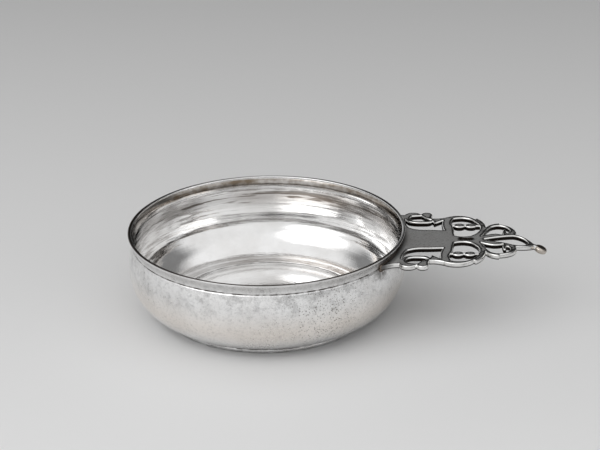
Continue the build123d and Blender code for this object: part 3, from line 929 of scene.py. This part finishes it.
# %% Cut the pattern
def triangles(loops, extra=()):
    """Triangles over closed lines and loose points: corners, faces and the points behind each corner."""
    corners, edges = [], []
    for loop in loops:
        first = len(corners)
        corners += [Vector(p) for p in loop]
        edges += [(first + i, first + (i + 1) % len(loop)) for i in range(len(loop))]
    corners += [Vector(p) for p in extra]
    found = delaunay_2d_cdt(corners, edges, [], 0, 1e-4)
    return np.array([tuple(c) for c in found[0]]), np.array(found[2]), found[3]


corners, faces, _ = triangles([outline, *openings, *bars])
faces = faces[is_metal(corners[faces].mean(1))]
border = {(a, b) for f in faces for a, b in zip(f, np.roll(f, -1))}
after = {a: b for a, b in border if (b, a) not in border}
loops = []
while after:
    first, here = after.popitem()
    loop = [first]
    while here != first:
        loop.append(here)
        here = after.pop(here)
    line = [corners[i] for i in loop]
    loops.append([p for i, p in enumerate(line) if np.hypot(*(p - line[i - 1])) > 0.06])
print("lines around the metal:", len(loops), "points:", sum(map(len, loops)))

# %% Size of the rounding
ROUNDING = 0.36
every = np.concatenate([np.array(loop) for loop in loops])


def room_at(points, into):
    """Radius of the largest disc that touches the border at each point and lies in the metal."""
    out = np.empty(len(points))
    for i, (p, n) in enumerate(zip(points, into)):
        away = every - p
        ahead = away @ n
        kept = ahead > 1e-4
        out[i] = ((away[kept] ** 2).sum(1) / (2 * ahead[kept])).min()
    return out


edge_lines = []
for loop in loops:
    line = np.array(loop)
    ahead = np.roll(line, -1, axis=0) - np.roll(line, 1, axis=0)
    ahead /= np.hypot(*ahead.T)[:, None]
    into = np.stack((-ahead[:, 1], ahead[:, 0]), axis=1)
    most = np.clip(0.6 * room_at(line, into), 0.03, ROUNDING)
    size = most.copy()
    for _ in range(4):
        size = np.minimum(most, (np.roll(size, 1) + 2 * size + np.roll(size, -1)) / 4)
    edge_lines.append((line, into, size))
print("rounding from", round(min(s.min() for _, _, s in edge_lines), 3), "to", ROUNDING, "mm")

# %% Slope and bend
bend_z = ROOT_TOP + (BEND_START - NECK_RADIUS) * tan(SLOPE)
bend_centre = (BEND_START + BEND_RADIUS * sin(SLOPE), bend_z - BEND_RADIUS * cos(SLOPE))


def height(x, depth):
    """Height in mm at a distance along the handle, at a depth below its top face."""
    radius = BEND_RADIUS - depth
    straight_end = bend_centre[0] - radius * sin(SLOPE)
    climb = bend_centre[1] + radius * cos(SLOPE) + (x - straight_end) * tan(SLOPE)
    bent = bend_centre[1] + np.sqrt(np.maximum(radius ** 2 - (x - bend_centre[0]) ** 2, 0.0))
    return np.where(x < straight_end, climb, bent)


print("top of the handle at the knob:", round(float(height(np.array([knob_x]), 0.0)[0]), 2), "mm")

# %% Walls with rounded edges
# each row is an inset and a drop in shares of the rounding, and a depth in mm
# the walls are filed a little hollow, and are darkened with film and painted shade from a depth in mm on
ROUND_TURNS = np.radians([15.0, 32.0, 50.0, 70.0, 90.0])
EDGE_IN = 1.1
FILM_AND_SHADE_FROM = {"slot": -0.4, "piercing": 0.45, "outer edge": 1.7}
hollow = [(-0.25, 0.0, 2.0), (-0.5, 0.0, 1.6), (-0.65, 0.0, 1.25), (-0.5, 0.0, 1.0), (-0.3, 0.0, 0.7),
          (-0.13, 0.0, 0.45)]
rows = [(EDGE_IN - cos(a), sin(a) - 1, HANDLE_THICK) for a in ROUND_TURNS[::-1]] + hollow
rows += [(EDGE_IN - cos(a), 1 - sin(a), 0.0) for a in ROUND_TURNS]
plate_points, plate_faces, top_ids, low_ids, insets, from_edge, wall_film = [], [], [], [], [], [], []
for line, into, size in edge_lines:
    count, base = len(line), len(plate_points)
    x, y = line.T
    is_opening = (x * np.roll(y, -1) - np.roll(x, -1) * y).sum() < 0
    is_slot = np.ptp(x) < 7 and np.ptp(y) < 2
    film_from = FILM_AND_SHADE_FROM[("slot" if is_slot else "piercing") if is_opening else "outer edge"]
    for inset, drop, depth in rows:
        shifted = line + into * (inset * size)[:, None]
        deep = depth + drop * size
        plate_points += [(x, y, z) for (x, y), z in zip(shifted, height(shifted[:, 0], deep))]
        from_edge += list(inset * size)
        # strength of film and painted shade on the lower part of each wall
        wall_film += list(np.clip((deep - film_from) / 0.25, 0, 1)
                          * np.clip((HANDLE_THICK - 0.05 - deep) / 0.2, 0, 1))
    for r in range(len(rows) - 1):
        low, high = base + r * count, base + (r + 1) * count
        plate_faces += [(low + i, low + (i + 1) % count, high + (i + 1) % count, high + i)
                        for i in range(count)]
    low_ids += range(base, base + count)
    top_ids += range(base + (len(rows) - 1) * count, base + len(rows) * count)
    insets.append(line + into * (EDGE_IN * size)[:, None])
print("walls:", len(plate_points), "points,", len(plate_faces), "faces")

# %% Top and underside
CLEAR, GRID_X, GRID_Y = 0.55, 1.2, 1.04
grid = np.array([(x + (j % 2) * GRID_X / 2, y) for j, y in enumerate(np.arange(-33.0, 33.0, GRID_Y))
                 for x in np.arange(56.0, 134.0, GRID_X)])
grid = grid[is_metal(grid)]
inset_points = np.concatenate(insets)
clear = np.array([np.hypot(*(inset_points - p).T).min() for p in grid])
grid, clear = grid[clear > CLEAR], clear[clear > CLEAR]
cap, cap_faces, behind = triangles(insets, grid)
middle = cap[cap_faces].mean(1)
cap_faces = cap_faces[sum(inside(loop, middle).astype(int) for loop in insets) % 2 == 1]
tops, lows = {}, {}
for i, (x, y) in enumerate(cap):
    source = behind[i][0] if behind[i] else None
    if source is not None and source < len(top_ids):
        tops[i], lows[i] = top_ids[source], low_ids[source]
        continue
    tops[i], lows[i] = len(plate_points), len(plate_points) + 1
    x_row = np.array([x])
    plate_points += [(x, y, height(x_row, 0.0)[0]), (x, y, height(x_row, HANDLE_THICK)[0])]
    from_edge += [ROUNDING + (clear[source - len(top_ids)] if source is not None else 0.0)] * 2
    wall_film += [0.0, 0.0]
plate_faces += [tuple(tops[i] for i in f) for f in cap_faces]
plate_faces += [tuple(lows[i] for i in f[::-1]) for f in cap_faces]
print("plate:", len(plate_points), "points,", len(plate_faces), "faces")

# %% [markdown]
# ## The knob
# The handle ends in a small button. It is turned on the same lathe, tilted with the bend and joined to
# the plate, because on the real handle both are one casting.

# %% Knob
KNOB_RADIUS, KNOB_HALF = 3.15, 1.5
knob_turn = [(KNOB_RADIUS * max(0.0, cos(a)) ** 0.55, KNOB_HALF * np.sign(sin(a)) * abs(sin(a)) ** 0.75)
             for a in np.linspace(-pi / 2, pi / 2, 33)]
knob_turn[0], knob_turn[-1] = (0.0, -KNOB_HALF), (0.0, KNOB_HALF)
knob = turn_on_lathe("knob", knob_turn, KNOB_SILVER, steps=72, depth=0.03, mark=1.6, seed=6.0)
lean = sqrt((BEND_RADIUS - HANDLE_THICK / 2) ** 2 - (knob_x - bend_centre[0]) ** 2)
knob_tilt = atan2(knob_x - bend_centre[0], lean)
knob.data.transform(Matrix.Translation((knob_x * MM, 0.0, (bend_centre[1] + lean) * MM))
                    @ Matrix.Rotation(knob_tilt, 4, "Y"))
print("knob tilts by", round(degrees(knob_tilt), 1), "degrees")

# %% Handle
plate_mesh = bpy.data.meshes.new("cast_handle")
plate_mesh.from_pydata([tuple(c * MM for c in p) for p in plate_points], [], plate_faces)
for name, values in (("from_edge", from_edge), ("wall_film", wall_film)):
    layer = plate_mesh.attributes.new(name, "FLOAT", "POINT")
    layer.data.foreach_set("value", np.array(values, np.float32))
plate_mesh.materials.append(HANDLE_SILVER)
plate_mesh.materials.append(KNOB_SILVER)
casting = bmesh.new()
casting.from_mesh(plate_mesh)
bmesh.ops.remove_doubles(casting, verts=casting.verts, dist=1e-7)
bmesh.ops.recalc_face_normals(casting, faces=casting.faces)
plate_count = len(casting.faces)
open_edges = sum(not e.is_manifold for e in casting.edges)
casting.from_mesh(knob.data)
casting.faces.ensure_lookup_table()
for face in casting.faces[plate_count:]:
    face.material_index = 1
for face in casting.faces:
    face.smooth = True
casting.to_mesh(plate_mesh)
casting.free()
handle = add_object("cast_handle", plate_mesh)
bpy.data.objects.remove(knob)
print("handle:", len(plate_mesh.polygons), "faces,", open_edges, "open edges")

# %% [markdown]
# ## The solder
# Where the handle meets the bowl a thread of solder ran around the joint and froze. It follows a path,
# so Geometry Nodes sweep a small circle along that path and let its size wander a little.

# %% A bead from Geometry Nodes
LUMP = 4  # mm between thick places
BEAD, given = new_tree("solder_bead", {"Path": "Geometry", "Thickness": "Float", "Wander": "Float",
                                       "Seed": "Float", "Metal": "Material"}, "Bead")
path = put(BEAD, "GeometryNodeMeshToCurve", {"Mesh": given["Path"]})
place = put(BEAD, "GeometryNodeInputPosition")
lumps = put(BEAD, "TexNoise", {"Vector": place, "W": given["Seed"], "Scale": 1 / (LUMP * MM)},
            noise_dimensions="4D")
share = put(BEAD, "Math", lumps, 0.5, operation="SUBTRACT")
share = put(BEAD, "Math", share, given["Wander"], 1.0, operation="MULTIPLY_ADD")
path = put(BEAD, "GeometryNodeSetCurveRadius", {"Curve": path, "Radius": share})
ring = put(BEAD, "GeometryNodeCurvePrimitiveCircle", {"Resolution": 12, "Radius": given["Thickness"]})
bead = put(BEAD, "GeometryNodeCurveToMesh", {"Curve": path, "Profile Curve": ring})
end_tree(BEAD, bead, given["Metal"], "Bead")

# %% Solder
SOLDER = cast_silver("tarnished_silver_solder", "#7A7067", "#4F463E", "#241E1A", 0.9)
NUDGE = 0.006  # radians by which the bead stands off the handle's sides
bead_radius, bead_turn = NECK_RADIUS + 0.3, root_turn + NUDGE
bead_high, bead_low = ROOT_TOP + 0.15, ROOT_TOP - HANDLE_THICK - 0.15
bead_path = [(a, bead_high) for a in np.linspace(-bead_turn, bead_turn, 160)]
bead_path += [(bead_turn + NUDGE, z) for z in np.linspace(bead_high - 0.4, bead_low + 0.4, 6)]
bead_path += [(a, bead_low) for a in np.linspace(bead_turn, -bead_turn, 160)]
bead_path += [(-bead_turn - NUDGE, z) for z in np.linspace(bead_low + 0.4, bead_high - 0.4, 6)]
path_mesh = bpy.data.meshes.new("solder_path")
path_points = [(bead_radius * cos(a) * MM, bead_radius * sin(a) * MM, z * MM) for a, z in bead_path]
path_edges = [(i, (i + 1) % len(bead_path)) for i in range(len(bead_path))]
path_mesh.from_pydata(path_points, path_edges, [])
solder = give(add_object("solder_bead", path_mesh), BEAD,
              {"Thickness": 0.55 * MM, "Wander": 1.1, "Seed": 3.0, "Metal": SOLDER})

# %% [markdown]
# ## Table and light
# The porringer stands on a sheet of matt grey paper. Its colour is darker towards the back, painted
# shade for the light falling off there. Silver shows its surroundings, so the room decides how bright
# each part of it looks. The front and the ceiling are pale, the right is dimmer low down, and the back
# is dim with a pale place low on the left. Straight behind, just over the paper, it is almost black:
# flat faces that look up show that, and rounded edges show it as a fine line.

# %% Paper
PAPER_FRONT, PAPER_BACK, FIBRE = "#F0F0F0", "#B4B4B4", 0.6
paper = bpy.data.materials.new("matt_grey_paper")
tree = fresh_tree(paper)
where = put(tree, "TexCoord").outputs["Object"]
depth_back = put(tree, "SeparateXYZ", where).outputs["Y"]
# painted shade: the paper's colour darkens towards the back, for light that falls off there
fade = put(tree, "MapRange", depth_back, -0.3, 0.58, 0.0, 1.0)
fibre = put(tree, "TexNoise", {"Vector": where, "Scale": 1 / (FIBRE * MM), "Detail": 2.0})
tint = put(tree, "Mix", {"Factor": fade, 6: linear(PAPER_FRONT), 7: linear(PAPER_BACK)},
           data_type="RGBA")
tooth = put(tree, "Bump", {"Height": fibre, "Strength": 0.05, "Distance": 0.1 * MM})
sheet = put(tree, "BsdfPrincipled", {"Base Color": tint, "Roughness": 0.9, "Normal": tooth})
put(tree, "OutputMaterial", sheet)
floor_mesh = bpy.data.meshes.new("paper_floor")
floor_mesh.from_pydata([(-4, -4, 0), (4, -4, 0), (4, 4, 0), (-4, 4, 0)], [], [(0, 1, 2, 3)])
floor_mesh.materials.append(paper)
paper_floor = add_object("paper_floor", floor_mesh)
print("paper from", PAPER_FRONT, "to", PAPER_BACK)

# %% Room
FRONT, HORIZON, CEILING = 0.84, 0.68, 0.9
BACK, BACK_LEFT, GAP_BEHIND, LOW_RIGHT = 0.22, 0.65, 0.025, 0.55
world = bpy.data.worlds.new("studio")
bpy.context.scene.world = world
room = fresh_tree(world)
aim = put(room, "SeparateXYZ", put(room, "TexCoord").outputs["Generated"]).outputs
# each part of the room eases in along one direction, from a first level to a last
parts = {"straight back": ("Y", 0.55, 0.8, 0.0, 1.0), "over the paper": ("Z", 0.1, 0.2, 0.0, 1.0),
         "left": ("X", -0.32, -0.14, 1.0, 0.0), "low left": ("Z", 0.36, 0.5, 1.0, 0.0),
         "back": ("Y", -0.15, 0.25, 0.0, 1.0), "front": ("Z", 0.05, 0.3, HORIZON, FRONT),
         "ceiling": ("Z", 0.66, 0.84, 0.0, 1.0), "not low": ("Z", 0.1, 0.35, 0.0, 1.0),
         "right": ("X", 0.15, 0.75, 1.0, LOW_RIGHT)}
eased = {part: put(room, "MapRange", aim[axis], start, end, first, last, interpolation_type="SMOOTHSTEP")
         for part, (axis, start, end, first, last) in parts.items()}
gap = put(room, "Math", eased["straight back"], eased["over the paper"], operation="MULTIPLY")
back = put(room, "Mix", {"Factor": gap, 2: BACK, 3: GAP_BEHIND}, data_type="FLOAT")
low_left = put(room, "Math", eased["left"], eased["low left"], operation="MULTIPLY")
back = put(room, "Mix", {"Factor": low_left, 2: back, 3: BACK_LEFT}, data_type="FLOAT")
around = put(room, "Mix", {"Factor": eased["back"], 2: eased["front"], 3: back}, data_type="FLOAT")
glow = put(room, "Mix", {"Factor": eased["ceiling"], 2: around, 3: CEILING}, data_type="FLOAT")
low_right = put(room, "Mix", {"Factor": eased["not low"], 2: eased["right"], 3: 1.0}, data_type="FLOAT")
glow = put(room, "Math", glow, low_right, operation="MULTIPLY")
glow = put(room, "Background", {"Color": glow, "Strength": 1.0})
put(room, "OutputWorld", glow)
print("room has", len(parts), "eased parts")

# %% [markdown]
# ## The lamp
# One large cloth in front of a lamp stands in front to the left. It is brightest in its middle and
# fades to its edge, so that its reflection in the bowl is a soft white patch without a hard outline.

# %% Lamp
LAMP_WIDE, LAMP_HIGH, LAMP_AWAY, LAMP_LEVEL = 3.2, 2.6, 2.4, 1.45
lamp_data = bpy.data.lights.new("soft_light", "AREA")
lamp_data.shape = "RECTANGLE"
lamp_data.size, lamp_data.size_y = LAMP_WIDE, LAMP_HIGH
lamp_data.energy = pi * lamp_data.size * lamp_data.size_y
cloth = fresh_tree(lamp_data)
across = put(cloth, "NewGeometry").outputs["Parametric"]
off_centre = put(cloth, "VectorMath", across, (0.5, 0.5, 0.0), operation="DISTANCE")
fading = put(cloth, "MapRange", off_centre, 0.2, 0.5, LAMP_LEVEL, 0.0, interpolation_type="SMOOTHSTEP")
shine = put(cloth, "Emission", {"Strength": fading})
put(cloth, "OutputLight", shine)
lamp = add_object("soft_light", lamp_data)
lamp_from = Vector((-0.52, -0.53, 0.67)).normalized()
lamp_turn = lamp_from.to_track_quat("Z", "Y").to_matrix().to_4x4()
lamp.matrix_world = Matrix.Translation(lamp_from * LAMP_AWAY) @ lamp_turn
print("lamp stands", [round(c, 2) for c in lamp.matrix_world.translation], "m from the bowl")

# %% [markdown]
# ## Tying the pieces to the CAD model
# Each visual piece takes the place of its CAD node and moves with the one rigid body of the part.

# %% Pieces and their nodes
for piece, node, finish in ((bowl, "bowl", "raised_silver"), (foot_ring, "foot_ring", "raised_silver"),
                            (handle, "handle", "cast_silver"), (solder, "handle_solder", "solder")):
    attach(piece, "root")
    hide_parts(node)
